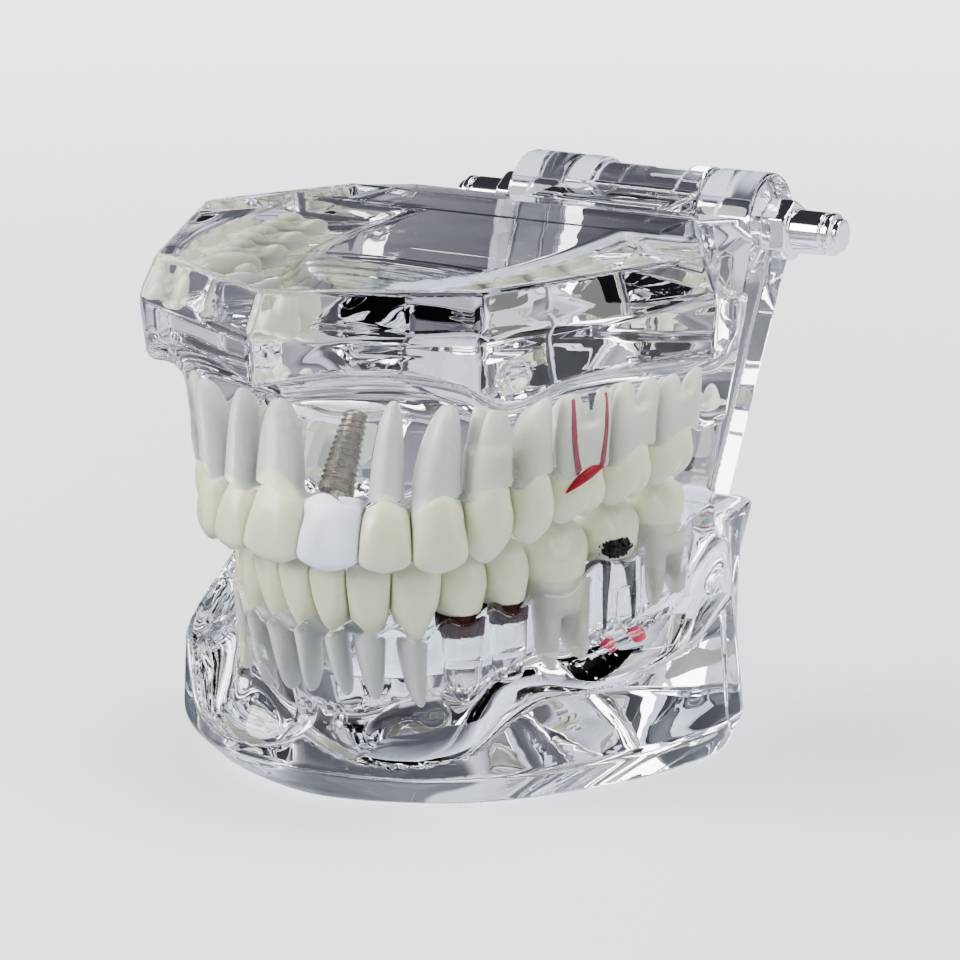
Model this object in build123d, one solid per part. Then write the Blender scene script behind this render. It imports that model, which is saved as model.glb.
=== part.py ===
from build123d import *
import math
import os

os.makedirs("parts", exist_ok=True)

# Clear dental demonstration model: two acrylic jaw bases with natural-size teeth, joined by a rear hinge.
# Frame: +Z up, -Y is the front of the mouth, +X is the patient's left. The bottom face is Z = 0. Millimetres.

# ---- arches: quarter superellipse through the cheek-side faces of the crowns ----
TOOTH_SCALE = 1.035          # these teeth are slightly larger than textbook averages
UPPER_HALF_WIDTH, UPPER_DEPTH, UPPER_POWER, UPPER_FRONT_Y = 35.3, 73.0, 2.43, -50.3
LOWER_HALF_WIDTH, LOWER_DEPTH, LOWER_POWER, LOWER_FRONT_Y = 31.8, 71.2, 2.09, -47.2
CONTACT_GAP = 0.22           # from each crown to the plane it shares with its neighbour

# ---- teeth, centre to back: kind, crown height, root length, crown width and depth, neck width and depth, lean
# of the crown towards the cheek in degrees, and height of the biting edge or chewing face above the table ----
UPPER_TEETH = (
    ("incisor", 10.3, 12.0, 8.9, 7.0, 6.9, 6.0, 14, 33.9),
    ("incisor", 9.8, 11.6, 7.2, 6.2, 5.3, 5.2, 13, 33.7),
    ("canine", 10.4, 12.0, 7.7, 7.6, 6.0, 6.8, 8, 33.3),
    ("two_root", 8.8, 12.4, 7.3, 9.0, 5.6, 8.0, 0, 35.2),
    ("premolar", 8.6, 12.6, 6.6, 9.0, 5.2, 8.0, 0, 36.0),
    ("upper_molar", 6.8, 11.6, 10.0, 11.0, 8.4, 9.8, 0, 37.5),
    ("upper_molar", 7.2, 10.8, 9.4, 10.6, 8.0, 9.6, 0, 38.2),
    ("upper_molar", 6.6, 9.8, 10.0, 9.6, 8.6, 8.8, 0, 39.3),
)
LOWER_TEETH = (
    ("incisor", 9.7, 10.6, 5.3, 5.8, 4.0, 5.2, 14, 34.2),
    ("incisor", 10.0, 10.7, 6.2, 6.0, 4.6, 5.4, 13, 34.3),
    ("canine", 10.4, 12.1, 6.9, 7.2, 5.3, 6.6, 8, 34.3),
    ("premolar", 8.2, 13.2, 7.1, 7.6, 5.4, 6.6, -3, 34.7),
    ("premolar", 8.4, 12.4, 6.7, 8.0, 5.2, 7.0, -4, 35.5),
    ("lower_molar", 8.0, 13.2, 11.0, 10.3, 9.2, 9.0, -8, 36.9),
    ("lower_molar", 6.8, 14.0, 10.3, 10.0, 8.6, 9.0, -8, 37.6),
    ("lower_molar", 6.0, 12.0, 10.5, 9.4, 8.8, 8.4, -8, 38.6),
)

# ---- upper base ----
TOP_Z, CREASE_Z, SKIRT_Z = 73.0, 67.4, 59.4
TOP_OUTLINE = ((0.0, -58.0), (24.8, -44.2), (40.2, -9.2), (28.6, 10.2), (25.6, 28.0))
CREASE_OUTLINE = ((0.0, -61.2), (26.6, -46.8), (42.2, -9.2), (29.6, 13.4), (28.4, 30.0))
SKIRT_OUTLINE = ((0.0, -60.0), (26.0, -46.0), (41.8, -8.4), (29.2, 13.0), (27.6, 27.6))
HEEL_TOP_Y, HEEL_DROP = 10.4, 3.2     # behind this the top slopes down to the hinge by this much
UPPER_NECK_Z = 45.2                   # gum edge of the upper teeth
PALATE_Z = 56.5

# ---- lower base ----
FOOT_OUTLINE = ((0.0, -44.4), (15.9, -39.3), (25.9, -30.6), (34.4, -17.0), (38.4, -4.0), (38.4, 3.0),
                (28.0, 17.5), (27.0, 24.0))
LEDGE_OUTLINE = ((0.0, -48.4), (14.4, -46.2), (25.2, -38.2), (33.8, -25.4), (39.8, -8.6), (41.0, 3.2),
                 (29.6, 20.4), (28.4, 26.8))
SIDE_OUTLINE = ((0.0, -47.6), (14.0, -45.6), (24.6, -37.8), (32.4, -25.6), (37.6, -9.4), (38.8, 2.4),
                (29.0, 21.8), (27.8, 33.4))
ROUND_POINTS = 6                      # this many of each outline's points lie on the rounded front
LEDGE_Z, SIDE_Z = 5.0, 28.0
FRONT_RIM_Z, REAR_RIM_Z = 13.0, 27.0  # the top of the block rises from front to back
LOWER_GUM_TOP_Z = 34.0
GUM_LINE = ((-60.0, 24.4), (-38.0, 24.6), (-25.0, 27.4), (-5.0, 30.6), (14.0, 33.4))   # gum edge: Y and Z
TONGUE_FLOOR_Z = 16.0

# ---- hinge ----
HINGE_Y, HINGE_Z = 51.9, 64.0
KNUCKLE_R, BAR_R, BAR_HALF = 8.2, 7.4, 7.0
UPPER_KNUCKLE_OUT, ARM_IN, ARM_OUT = 11.2, 11.55, 20.5
ARM_LEAN = (0.868, 0.496)             # direction up and back along the rear edge of the arms
PIN_R, RUNNING_GAP, ARM_GAP = 2.5, 0.06, 0.02
NUT_FLATS, NUT_LEN, CAP_R, CAP_END, PIN_END = 8.0, 4.0, 3.2, 32.5, 29.0
GROOVE_WIDTH, GROOVE_DEPTH = 0.5, 0.3
ON_END = (Align.CENTER, Align.CENTER, Align.MIN)      # round solids stand on their end


def quarter(half_width, depth, power, front_y, steps=500):
    """Points of half an arch from the midline backwards, with the length run so far."""
    run, out = 0.0, []
    for i in range(steps + 1):
        a = math.pi / 2 * i / steps
        p = (half_width * math.sin(a) ** (2 / power),
             front_y + depth - depth * max(math.cos(a), 0.0) ** (2 / power))
        if out:
            run += math.dist(p, out[-1][:2])
        out.append((*p, run))
    return out


def station(curve, run):
    """Place on the arch at this length: x, y and the unit tangent."""
    i = next(k for k in range(1, len(curve)) if curve[k][2] >= run or k == len(curve) - 1)
    a, b = curve[i - 1], curve[i]
    t = (run - a[2]) / (b[2] - a[2])
    d = math.dist(a[:2], b[:2])
    return a[0] + t * (b[0] - a[0]), a[1] + t * (b[1] - a[1]), (b[0] - a[0]) / d, (b[1] - a[1]) / d


UPPER_CURVE = quarter(UPPER_HALF_WIDTH, UPPER_DEPTH, UPPER_POWER, UPPER_FRONT_Y)
LOWER_CURVE = quarter(LOWER_HALF_WIDTH, LOWER_DEPTH, LOWER_POWER, LOWER_FRONT_Y)


# ---------------------------------------------------------------- teeth
class Slot:
    """The wedge of space between the two planes a tooth shares with its neighbours, in the tooth's own axes."""

    def __init__(self, neck, borders):
        self.sides = []
        for (x, y, tx, ty), sign in borders:
            normal = Vector(tx, ty, 0) * sign
            local_normal = [normal.dot(d) for d in (neck.x_dir, neck.y_dir, neck.z_dir)]
            gap = (neck.origin - Vector(x, y, 0)).dot(normal)
            self.sides.append((local_normal, gap))

    def held(self, x, y, z):
        """x moved back inside the wedge if it is past either plane."""
        for (nx, ny, nz), start in self.sides:
            past = start + nx * x + ny * y + nz * z + CONTACT_GAP
            if past > 0:
                x -= past / nx
        return x


def ring(slot, z, width, depth, shift=0.0, power=2.2, across=0.0, count=14):
    """Closed rounded outline at height z. shift moves it towards the cheek, across along the arch."""
    points = []
    for i in range(count):
        a = 2 * math.pi * (i + 0.5) / count
        c, s = math.cos(a), math.sin(a)
        x = across + width / 2 * math.copysign(abs(c) ** (2 / power), c)
        y = shift + depth / 2 * math.copysign(abs(s) ** (2 / power), s)
        points.append(Vector(slot.held(x, y, z), y, z))
    return Wire([Edge.make_spline(points, periodic=True)])


def root(slot, length, top, width, depth, at, tip):
    """One root from height top down to its tip."""
    rings = []
    for share, scale in ((0.0, 1.0), (0.4, 0.88), (0.8, 0.56), (1.0, 0.26)):
        z = top - share * (length + top)
        k = share ** 1.2
        rings.append(ring(slot, z, width * scale, depth * scale, at[1] + k * (tip[1] - at[1]), 2.0,
                          at[0] + k * (tip[0] - at[0]), 10))
    return Solid.make_loft(rings[::-1])


def tooth_shape(slot, kind, height, length, width, depth, neck_w, neck_d):
    """A tooth with its neck at Z = 0 and its crown upwards; +Y is the cheek side."""
    single = [ring(slot, -length, neck_w * 0.24, neck_d * 0.24),
              ring(slot, -length * 0.82, neck_w * 0.55, neck_d * 0.55),
              ring(slot, -length * 0.42, neck_w * 0.86, neck_d * 0.88)]
    if kind in ("incisor", "canine"):
        tip_w = 0.9 if kind == "incisor" else 0.42
        return Solid.make_loft(single + [
            ring(slot, 0, neck_w, neck_d),
            ring(slot, height * 0.3, (width + neck_w) / 2, depth, 0.02 * depth, 2.4),
            ring(slot, height * 0.66, width, depth * 0.66, 0.14 * depth, 2.6),
            ring(slot, height, width * tip_w, depth * 0.22, 0.31 * depth, 2.4)])
    crown_rings = [ring(slot, 0, neck_w, neck_d, 0, 2.5),
                   ring(slot, height * 0.5, width, depth, 0, 2.8),
                   ring(slot, height, width * 0.82, depth * 0.62, 0, 2.6)]
    if kind == "premolar":
        return Solid.make_loft(single + crown_rings)
    trunk = 0.24 * length
    shape = Solid.make_loft([ring(slot, -trunk, neck_w * 0.93, neck_d * 0.93, 0, 2.5)] + crown_rings)
    top = -trunk * 0.4
    if kind == "two_root":
        roots = [((0, s * 0.22 * neck_d), (0, s * 0.3 * neck_d), neck_w * 0.72, neck_d * 0.42) for s in (-1, 1)]
    elif kind == "lower_molar":
        roots = [((s * 0.24 * neck_w, 0), (s * 0.3 * neck_w, 0), neck_w * 0.38, neck_d * 0.76) for s in (-1, 1)]
    else:
        roots = [((s * 0.24 * neck_w, 0.2 * neck_d), (s * 0.3 * neck_w, 0.26 * neck_d),
                  neck_w * 0.38, neck_d * 0.42) for s in (-1, 1)]
        roots.append(((0, -0.24 * neck_d), (0, -0.4 * neck_d), neck_w * 0.56, neck_d * 0.36))
    for at, tip, w, d in roots:
        shape = shape.fuse(root(slot, length, top, w, d, at, tip))
    return shape


def placed_teeth(table, curve, upper):
    """{(side, position): solid} for one jaw and {position: plane of the neck} for its left side.

    Position 1 is next to the midline, and side 1 is the left."""
    out, necks, run = {}, {}, 0.0
    for position, (kind, *sizes, lean, edge_z) in enumerate(table, 1):
        height, length, width, depth, neck_w, neck_d = (TOOTH_SCALE * v for v in sizes)
        borders = ((station(curve, run), -1), (station(curve, run + width), 1))
        x, y, tx, ty = station(curve, run + width / 2)
        run += width
        front = kind in ("incisor", "canine")
        normal = Vector(ty, -tx, 0)
        along = Vector(tx, ty, 0) * (1 if upper else -1)
        up = Vector(0, 0, -1 if upper else 1)
        axis = up * math.cos(math.radians(lean)) + normal * math.sin(math.radians(lean))
        turned = Plane(origin=(0, 0, 0), x_dir=along, z_dir=axis)
        offset = turned.y_dir * ((0.41 if front else 0.5) * depth) + turned.z_dir * height
        neck = Plane(origin=Vector(x, y, edge_z) - offset, x_dir=along, z_dir=axis)
        shape = neck.location * tooth_shape(Slot(neck, borders), kind, height, length, width, depth,
                                            neck_w, neck_d)
        out[1, position], out[-1, position] = shape, shape.mirror(Plane.YZ)
        necks[position] = neck
    return out, necks


# ---------------------------------------------------------------- bases
def outline_wire(half, z, curved=0):
    """Closed outline from its right half. The first points, as many as curved says, lie on a smooth curve."""
    points = [Vector(-x, y, z) for x, y in half[::-1] if x > 0] + [Vector(x, y, z) for x, y in half]
    if not curved:
        return Wire.make_polygon(points, close=True)
    tail = len(half) - curved
    bow = Edge.make_spline(points[tail:-tail])
    corners = points[-tail - 1:] + points[:tail + 1]
    return Wire([bow] + [Edge.make_line(a, b) for a, b in zip(corners, corners[1:])])


def arch_wire(curve, length, offset, z, rear_y):
    """Closed outline that follows an arch at a distance, with a straight back."""
    half = []
    for i in range(8):
        x, y, tx, ty = station(curve, length * i / 7)
        half.append((max(x + offset * ty, 0.0), y - offset * tx))
    half.append((half[-1][0], rear_y))
    points = [Vector(-x, y, z) for x, y in half[:0:-1]] + [Vector(x, y, z) for x, y in half]
    return Wire([Edge.make_spline(points), Edge.make_line(points[-1], points[0])])


def x_cylinder(radius, x0, x1, y=HINGE_Y, z=HINGE_Z):
    return Plane(origin=(x0, y, z), x_dir=(0, 1, 0), z_dir=(1, 0, 0)) * Cylinder(
        radius, x1 - x0, align=ON_END)


def x_slab(points, x0, x1):
    """A flat shape given in Y and Z, thick from x0 to x1."""
    face = Face(Wire.make_polygon([Vector(x0, y, z) for y, z in points], close=True))
    return Solid.extrude(face, Vector(x1 - x0, 0, 0))


def solid_of(shape):
    found = shape.solids()
    return max(found, key=lambda s: s.volume)


def upper_base_blank():
    block = Solid.make_loft([outline_wire(SKIRT_OUTLINE, SKIRT_Z), outline_wire(CREASE_OUTLINE, CREASE_Z)], True)
    block = block.fuse(Solid.make_loft([outline_wire(CREASE_OUTLINE, CREASE_Z),
                                        outline_wire(TOP_OUTLINE, TOP_Z)], True))
    heel_end = CREASE_OUTLINE[-1][1] + 1
    wedge = x_slab([(HEEL_TOP_Y, TOP_Z), (HEEL_TOP_Y, TOP_Z + 1), (heel_end, TOP_Z + 1),
                    (heel_end, TOP_Z - HEEL_DROP)], -45, 45)
    block = block.cut(wedge)
    arch_run = sum(t[3] for t in UPPER_TEETH) * TOOTH_SCALE
    gum = Solid.make_loft([arch_wire(UPPER_CURVE, arch_run, 2.9, SKIRT_Z + 1, 9.0),
                           arch_wire(UPPER_CURVE, arch_run, 1.1, UPPER_NECK_Z, 6.5)], True)
    prism = Solid.make_loft([outline_wire(SKIRT_OUTLINE, UPPER_NECK_Z - 2), outline_wire(SKIRT_OUTLINE, TOP_Z)],
                            True)
    block = block.fuse(gum.intersect(prism).solids()[0])
    vault = Solid.make_loft([arch_wire(UPPER_CURVE, arch_run, -12.6, UPPER_NECK_Z - 0.5, 12.0),
                             arch_wire(UPPER_CURVE, arch_run, -17.5, PALATE_Z, 12.0)], True)
    block = block.cut(vault)
    tongue = x_slab([(24.0, SKIRT_Z + 1.4), (HINGE_Y, HINGE_Z - BAR_R + 0.6), (HINGE_Y, HINGE_Z + 5.0),
                     (24.0, TOP_Z - HEEL_DROP - 0.6)], -UPPER_KNUCKLE_OUT, UPPER_KNUCKLE_OUT)
    block = block.fuse(tongue)
    block = block.fuse(x_cylinder(BAR_R, -BAR_HALF, BAR_HALF))
    for side in (-1, 1):
        ends = sorted((side * BAR_HALF, side * UPPER_KNUCKLE_OUT))
        block = block.fuse(x_cylinder(KNUCKLE_R, *ends))
    return block.cut(x_cylinder(PIN_R + RUNNING_GAP, -14, 14))


def lower_base_blank():
    foot, ledge, side = (outline_wire(outline, z, ROUND_POINTS) for outline, z in (
        (FOOT_OUTLINE, 0), (LEDGE_OUTLINE, LEDGE_Z), (SIDE_OUTLINE, SIDE_Z)))
    block = Solid.make_loft([foot, ledge], True).fuse(Solid.make_loft([ledge, side], True))
    over = x_slab([(-60, FRONT_RIM_Z), (-34, FRONT_RIM_Z + 1), (8, REAR_RIM_Z), (60, REAR_RIM_Z), (60, 60),
                   (-60, 60)], -50, 50)
    block = block.cut(over)
    arch_run = sum(t[3] for t in LOWER_TEETH) * TOOTH_SCALE
    gum = Solid.make_loft([arch_wire(LOWER_CURVE, arch_run, 0.6, LEDGE_Z, 12.0),
                           arch_wire(LOWER_CURVE, arch_run, 1.3, LOWER_GUM_TOP_Z, 12.0)], True)
    above_gum = x_slab([*GUM_LINE, (14.0, 60.0), (-60.0, 60.0)], -50, 50)
    block = block.fuse(gum.cut(above_gum).solids()[0])
    space = Solid.make_loft([arch_wire(LOWER_CURVE, arch_run, -14.5, TONGUE_FLOOR_Z, 22.0),
                             arch_wire(LOWER_CURVE, arch_run, -11.6, LOWER_GUM_TOP_Z, 22.0)], True)
    block = block.cut(space)
    rise, back = ARM_LEAN
    back_touch = (HINGE_Y + KNUCKLE_R * rise, HINGE_Z - KNUCKLE_R * back)
    foot_y = back_touch[0] - back_touch[1] * back / rise
    profile = [(12.0, 6.0), (foot_y, 0.0), back_touch, (HINGE_Y, HINGE_Z),
               (HINGE_Y - KNUCKLE_R * 0.94, HINGE_Z - KNUCKLE_R * 0.34), (33.0, 30.0), (28.0, 20.0)]
    for side in (-1, 1):
        ends = sorted((side * ARM_IN, side * ARM_OUT))
        block = block.fuse(x_slab(profile, *ends))
        block = block.fuse(x_cylinder(KNUCKLE_R, *ends))
    web_top = 24.0
    web = x_slab([(12.0, 6.0), (foot_y, 0.0), (foot_y + web_top * back / rise, web_top), (24.0, web_top)],
                 -ARM_IN, ARM_IN)
    block = block.fuse(web)
    return block.cut(x_cylinder(PIN_R + ARM_GAP, -24, 24))


def slice_between(shape, neck, low, high):
    """The part of a placed tooth between two heights along its own axis."""
    slab = neck.location * Pos(0, 0, (low + high) / 2) * Box(30, 30, high - low)
    return solid_of(shape.intersect(slab.solids()[0]))


def rod(start, end, radius):
    """A round rod between two points."""
    start, end = Vector(*start), Vector(*end)
    return Plane(origin=start, z_dir=end - start) * Cylinder(
        radius, (end - start).length, align=ON_END)


def local(neck, x, y, z):
    """A point given along a tooth's own axes."""
    return neck.origin + neck.x_dir * x + neck.y_dir * y + neck.z_dir * z


upper, upper_necks = placed_teeth(UPPER_TEETH, UPPER_CURVE, True)
lower, lower_necks = placed_teeth(LOWER_TEETH, LOWER_CURVE, False)
nodes = {f"tooth_{2 if side > 0 else 1}{position}": shape for (side, position), shape in upper.items()}
nodes |= {f"tooth_{3 if side > 0 else 4}{position}": shape for (side, position), shape in lower.items()}

# ---- implant in place of the upper left central incisor: fixture, abutment with its screw seat, and crown ----
IMPLANT_LEN, IMPLANT_TOP_R, IMPLANT_TIP_R, THREAD_PITCH, THREAD_DEPTH = 12.5, 2.3, 1.45, 1.25, 0.28
shape, neck = upper[1, 1], upper_necks[1]
CROWN_FOOT_Z, FIXTURE_TOP, ABUTMENT_LEN, ABUTMENT_R, FLANGE_R = 0.4, -0.6, 6.0, 1.9, 2.7
crown_21 = slice_between(shape, neck, CROWN_FOOT_Z, 20)


def thread_profile():
    """Half outline of the tapered implant with its ring threads."""
    points = [(0.0, FIXTURE_TOP), (IMPLANT_TOP_R, FIXTURE_TOP), (IMPLANT_TOP_R, FIXTURE_TOP - 1.2)]
    z, end = FIXTURE_TOP - 1.4, FIXTURE_TOP - IMPLANT_LEN + 1.0
    while z - THREAD_PITCH > end:
        share = (FIXTURE_TOP - z) / IMPLANT_LEN
        r = IMPLANT_TOP_R + share * (IMPLANT_TIP_R - IMPLANT_TOP_R)
        points += [(r - THREAD_DEPTH, z), (r - THREAD_DEPTH, z - 0.35 * THREAD_PITCH),
                   (r, z - 0.6 * THREAD_PITCH), (r, z - 0.8 * THREAD_PITCH)]
        z -= THREAD_PITCH
    points += [(IMPLANT_TIP_R, z), (IMPLANT_TIP_R * 0.7, FIXTURE_TOP - IMPLANT_LEN),
               (0.0, FIXTURE_TOP - IMPLANT_LEN)]
    return points


implant_tip = local(neck, 1.3, -1.8, -IMPLANT_LEN)          # it leans back and away from the midline
implant_axis = Plane(origin=neck.origin, x_dir=neck.x_dir, z_dir=neck.origin - implant_tip).location
profile_face = Face(Wire.make_polygon([Vector(r, 0, z) for r, z in thread_profile()], close=True))
fixture = implant_axis * Solid.revolve(profile_face, 360, Axis.Z)
abutment = implant_axis * (
    Pos(0, 0, FIXTURE_TOP) * Cone(IMPLANT_TOP_R, FLANGE_R, 1.0, align=ON_END)
    + Pos(0, 0, FIXTURE_TOP + 1.0) * Cone(ABUTMENT_R, ABUTMENT_R * 0.8, ABUTMENT_LEN - 1.0,
                                          align=ON_END))
abutment = solid_of(abutment)
nodes["implant_crown_21"] = solid_of(crown_21.cut(abutment))
nodes["implant_fixture_21"] = solid_of(fixture)
nodes["implant_abutment_21"] = abutment
del nodes["tooth_21"]

# ---- upper left first molar: red pulp with two canals, and a small screw post between the roots ----
shape, neck = upper[1, 6], upper_necks[6]
CANAL_R, CANAL_Y = 0.5, 2.2
CANAL_TIP_Z, CHAMBER_Z, HORN_Z, JOINT_R = -9.5, -0.7, 1.6, 0.72
pulp = None
for a, b in (((-2.45, CANAL_TIP_Z), (-2.1, CHAMBER_Z)), ((2.45, CANAL_TIP_Z), (2.1, CHAMBER_Z)),
             ((-2.1, CHAMBER_Z), (-2.2, HORN_Z)), ((2.1, CHAMBER_Z), (-2.2, HORN_Z))):
    start, end = (local(neck, x, CANAL_Y, z) for x, z in (a, b))
    piece = rod(start, end, CANAL_R) + Pos(*end) * Sphere(JOINT_R)
    pulp = piece if pulp is None else pulp + piece
pulp = solid_of(pulp)
SCREW_Y, SCREW_Z, HEAD_R, SHANK_R = 3.0, (-11.6, -11.0, -9.0), 0.8, 0.42
head, collar, end = (local(neck, 0, SCREW_Y, z) for z in SCREW_Z)
screw = solid_of(rod(head, collar, HEAD_R) + rod(collar, end, SHANK_R))
nodes["pulp_26"] = pulp
nodes["screw_post_26"] = screw
nodes["tooth_26"] = solid_of(shape.cut(pulp))

# ---- lower left premolars: tartar bands between the crown and a clear root ----
BAND_TOP, WHOLE = -0.4, 30.0        # a band starts this far below the neck; no tooth is longer than WHOLE
for position, name, band_low in ((4, "34", -2.9), (5, "35", -2.5)):
    shape, neck = lower[1, position], lower_necks[position]
    nodes[f"tooth_{name}"] = slice_between(shape, neck, BAND_TOP, WHOLE)
    nodes[f"tartar_{name}"] = slice_between(shape, neck, band_low, BAND_TOP)
    nodes[f"root_{name}"] = slice_between(shape, neck, -WHOLE, band_low)

# ---- lower left second molar: dark filling, two canal posts and two red spots at the root tips ----
shape, neck = lower[1, 7], lower_necks[7]
POST_TOP, POST_TIP, POST_R = (2.1, 1.6, 0.6), (2.6, 1.0, -9.6), 0.6
SPOT_AT, SPOT_R = (2.75, 0.9, -13.9), 1.05
FILLING_AT, FILLING_R = (0.2, 1.6, 4.0), 1.9
filling = (neck.location * Pos(*FILLING_AT) * Sphere(FILLING_R)).solids()[0]
body_37 = shape.cut(filling)
for side, name in ((1, "mesial"), (-1, "distal")):
    top, tip, spot_at = (local(neck, side * x, y, z) for x, y, z in (POST_TOP, POST_TIP, SPOT_AT))
    post = solid_of(rod(top, tip, POST_R))
    spot = (Pos(*spot_at) * Sphere(SPOT_R)).solids()[0]
    nodes[f"canal_post_{name}_37"] = post
    nodes[f"apex_spot_{name}_37"] = spot
    body_37 = body_37.cut(post).cut(spot)
nodes["filling_37"] = filling
nodes["tooth_37"] = solid_of(body_37)

# ---- bases with a socket for every piece set in them ----
UPPER_FIRST = {"1", "2"}
base_up, base_low = upper_base_blank(), lower_base_blank()
for name, shape in nodes.items():
    if name.split("_")[-1][0] in UPPER_FIRST:
        base_up = base_up.cut(shape)
    else:
        base_low = base_low.cut(shape)
nodes["upper_base"] = solid_of(base_up)
nodes["lower_base"] = solid_of(base_low)

# ---- hinge pin with a long cap nut on each end ----
nodes["hinge_pin"] = x_cylinder(PIN_R, -PIN_END, PIN_END)
for side, name in ((1, "left"), (-1, "right")):
    plane = Plane(origin=(side * (ARM_OUT + ARM_GAP), HINGE_Y, HINGE_Z), x_dir=(0, 1, 0), z_dir=(side, 0, 0))
    hexagon = extrude(RegularPolygon(NUT_FLATS / 2, 6, major_radius=False), NUT_LEN)
    hexagon = hexagon & Cone(NUT_FLATS / 2 + 1.8, NUT_FLATS / 2 - 0.1, NUT_LEN + 0.6,
                             align=ON_END)
    length = CAP_END - ARM_OUT - ARM_GAP
    cap = Pos(0, 0, NUT_LEN - 0.2) * Cylinder(CAP_R, length - NUT_LEN - 1.0, align=ON_END)
    tip = Pos(0, 0, length - 1.2) * Cone(CAP_R * 0.82, CAP_R * 0.55, 1.2, align=ON_END)
    groove = Pos(0, 0, length - 2.6) * (
        Cylinder(CAP_R + 1, GROOVE_WIDTH, align=ON_END) - Cylinder(CAP_R - GROOVE_DEPTH, GROOVE_WIDTH, align=ON_END))
    bore = Cylinder(PIN_R, PIN_END - ARM_OUT - ARM_GAP, align=ON_END)
    nodes[f"cap_nut_{name}"] = plane * (hexagon + cap + tip - groove - bore)

for name, shape in nodes.items():
    export_step(Part() + shape, f"parts/{name}.step")
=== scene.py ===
import math

import bpy
import numpy as np
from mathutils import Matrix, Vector


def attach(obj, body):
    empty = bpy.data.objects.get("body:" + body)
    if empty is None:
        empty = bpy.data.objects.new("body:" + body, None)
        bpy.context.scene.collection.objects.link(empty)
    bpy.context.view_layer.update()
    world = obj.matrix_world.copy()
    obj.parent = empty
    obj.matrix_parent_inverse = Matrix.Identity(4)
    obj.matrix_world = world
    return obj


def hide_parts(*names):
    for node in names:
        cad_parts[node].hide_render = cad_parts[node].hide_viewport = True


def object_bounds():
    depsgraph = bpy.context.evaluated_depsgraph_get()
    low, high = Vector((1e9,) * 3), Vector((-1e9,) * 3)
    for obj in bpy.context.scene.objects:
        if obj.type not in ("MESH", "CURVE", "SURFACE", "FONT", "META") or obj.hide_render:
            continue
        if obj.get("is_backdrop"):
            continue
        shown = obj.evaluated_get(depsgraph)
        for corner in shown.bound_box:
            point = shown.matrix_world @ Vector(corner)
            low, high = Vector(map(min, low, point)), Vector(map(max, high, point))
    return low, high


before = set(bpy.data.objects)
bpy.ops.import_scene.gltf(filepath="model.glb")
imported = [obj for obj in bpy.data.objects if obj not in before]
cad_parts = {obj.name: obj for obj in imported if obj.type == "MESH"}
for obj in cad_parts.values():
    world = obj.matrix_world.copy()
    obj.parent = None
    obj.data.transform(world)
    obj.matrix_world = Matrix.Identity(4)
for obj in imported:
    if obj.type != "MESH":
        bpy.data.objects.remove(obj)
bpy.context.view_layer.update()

MM = 0.001


# ---- surfaces from distance fields, in millimetres
def smax(a, b, k):
    """The larger of two distances, with the edge between them rounded over about k."""
    h = np.maximum(k - np.abs(a - b), 0) / k
    return np.maximum(a, b) + h * h * k / 4


def smin(a, b, k):
    return -smax(-a, -b, k)


def slab(value, low, high):
    """Negative between low and high."""
    return np.maximum(low - value, value - high)


def ramp(x, low, high):
    """0 below low, 1 above high, smooth between."""
    t = np.clip((x - low) / (high - low), 0, 1)
    return t * t * (3 - 2 * t)


def curve(*points):
    """Smooth function through (position, value) pairs, level beyond the ends."""
    xs, ys = (np.array(v, float) for v in zip(*points))
    slopes = np.gradient(ys, xs) if len(xs) > 2 else np.full(len(xs), (ys[-1] - ys[0]) / (xs[-1] - xs[0]))
    dense = np.linspace(xs[0], xs[-1], 40 * len(xs))
    i = np.clip(np.searchsorted(xs, dense, "right") - 1, 0, len(xs) - 2)
    gap = xs[i + 1] - xs[i]
    t = (dense - xs[i]) / gap
    values = ((2 * t**3 - 3 * t**2 + 1) * ys[i] + (t**3 - 2 * t**2 + t) * gap * slopes[i]
              + (3 * t**2 - 2 * t**3) * ys[i + 1] + (t**3 - t**2) * gap * slopes[i + 1])
    return lambda x: np.interp(x, dense, values)


def gradient(field, p, h=0.05):
    """The field's direction of growth at each point, by small steps both ways."""
    out = np.empty_like(p)
    for axis in range(3):
        step = np.zeros(3)
        step[axis] = h
        out[:, axis] = field(p + step) - field(p - step)
    return out / (2 * h)


def in_parts(field, p, size=400000):
    return np.concatenate([field(p[i:i + size]) for i in range(0, len(p), size)])


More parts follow.
